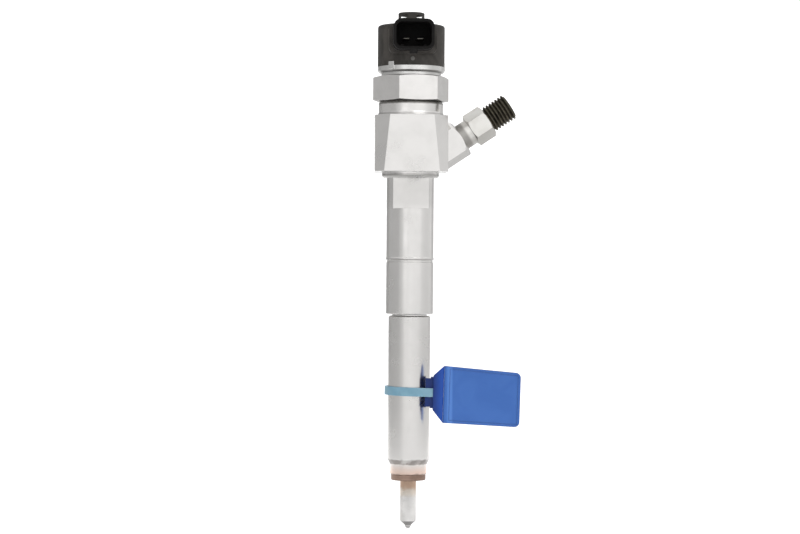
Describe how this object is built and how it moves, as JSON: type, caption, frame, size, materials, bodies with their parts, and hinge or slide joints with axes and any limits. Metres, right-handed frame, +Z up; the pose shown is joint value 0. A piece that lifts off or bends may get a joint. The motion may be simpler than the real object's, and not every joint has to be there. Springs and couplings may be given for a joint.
{
  "type": "fuel injector",
  "caption": "Common-rail diesel fuel injector: slim nozzle end with copper washer, stepped steel body, angled fuel inlet, hexagonal solenoid nut, black plug head and a blue seal tag.",
  "frame": {"origin": "on the injector's axis at the underside of the copper sealing washer, its seat in the cylinder head", "axes": "+Z up the axis towards the electrical head, -Y the way the plug socket faces, +X the side of the fuel inlet"},
  "size_m": [0.064, 0.0407, 0.2223],
  "materials": {
    "plated_steel": "satin plated",
    "bright_steel": "ground",
    "hardened_steel": "lapped",
    "dark_steel": "phosphated",
    "spring_steel": "oiled",
    "zinc_steel": "zinc plated",
    "soft_iron": "sintered",
    "copper": "annealed, browned",
    "coil_copper": "enamelled",
    "tin": "tin plated",
    "black_plastic": "moulded, glass filled",
    "bobbin_plastic": "moulded",
    "seal_ring": "smooth",
    "rubber": "smooth",
    "blue_plastic": "moulded",
    "dark_blue_plastic": "moulded",
    "clear_teal_plastic": "translucent, drawn"
  },
  "bodies": {
    "injector": {"sealing_washer": "copper", "nozzle_body": "bright_steel", "nozzle_spring": "spring_steel", "nozzle_spring_shim": "hardened_steel", "nozzle_dowel_pins": "hardened_steel", "nozzle_nut": "plated_steel", "injector_body": "plated_steel", "inlet_union": "zinc_steel", "edge_filter": "hardened_steel", "inlet_seal_washer": "copper", "valve_piece": "hardened_steel", "valve_seal_ring": "seal_ring", "valve_clamp_ring": "dark_steel", "armature_guide": "bright_steel", "overtravel_spring": "spring_steel", "valve_spring": "spring_steel", "magnet_core": "soft_iron", "coil_bobbin": "bobbin_plastic", "coil_winding": "coil_copper", "magnet_housing": "bright_steel", "housing_o_ring": "rubber", "armature_lift_shim": "hardened_steel", "nut_retaining_ring": "spring_steel", "solenoid_nut": "plated_steel", "valve_spring_shim": "hardened_steel", "spring_stop_sleeve": "bright_steel", "terminal_pins": "tin", "connector_head": "black_plastic"},
    "needle_group": {"nozzle_needle": "hardened_steel", "needle_spring_seat": "hardened_steel", "control_piston": "hardened_steel"},
    "armature_group": {"armature_bolt": "hardened_steel", "ball_guide": "hardened_steel", "valve_ball": "hardened_steel", "armature_stop_washer": "spring_steel"},
    "armature_plate": {"armature_plate": "soft_iron"},
    "seal_tag": {"seal_strap": "clear_teal_plastic", "seal_lock_housing": "dark_blue_plastic", "seal_lock_insert": "dark_blue_plastic"},
    "seal_flag": {"seal_flag": "blue_plastic"}
  },
  "joints": [
    {"name": "needle_lift", "type": "slide", "parent": "injector", "child": "needle_group", "axis": [0, 0, 1], "range_m": [0, 0.00025], "stiffness_N_per_m": 400, "springref_m": -0.0005, "deforming": ["nozzle_spring"]},
    {"name": "armature_lift", "type": "slide", "parent": "injector", "child": "armature_group", "axis": [0, 0, 1], "range_m": [0, 0.00005], "stiffness_N_per_m": 60, "springref_m": -0.001, "deforming": ["valve_spring"]},
    {"name": "plate_overtravel", "type": "slide", "parent": "armature_group", "child": "armature_plate", "axis": [0, 0, 1], "range_m": [-0.0004, 0], "stiffness_N_per_m": 100, "springref_m": 0.0005, "deforming": ["overtravel_spring"]},
    {"name": "tag_turn", "type": "hinge", "parent": "injector", "child": "seal_tag", "pos_m": [0, 0, 0.0384], "axis": [0, 0, 1], "continuous": true},
    {"name": "flag_bend", "type": "hinge", "parent": "seal_tag", "child": "seal_flag", "pos_m": [0.01509, -0.0101, 0.038], "axis": [0.0262, 0, 0.9997], "range_deg": [-90, 90], "stiffness_Nm_per_rad": 0.0005}
  ]
}
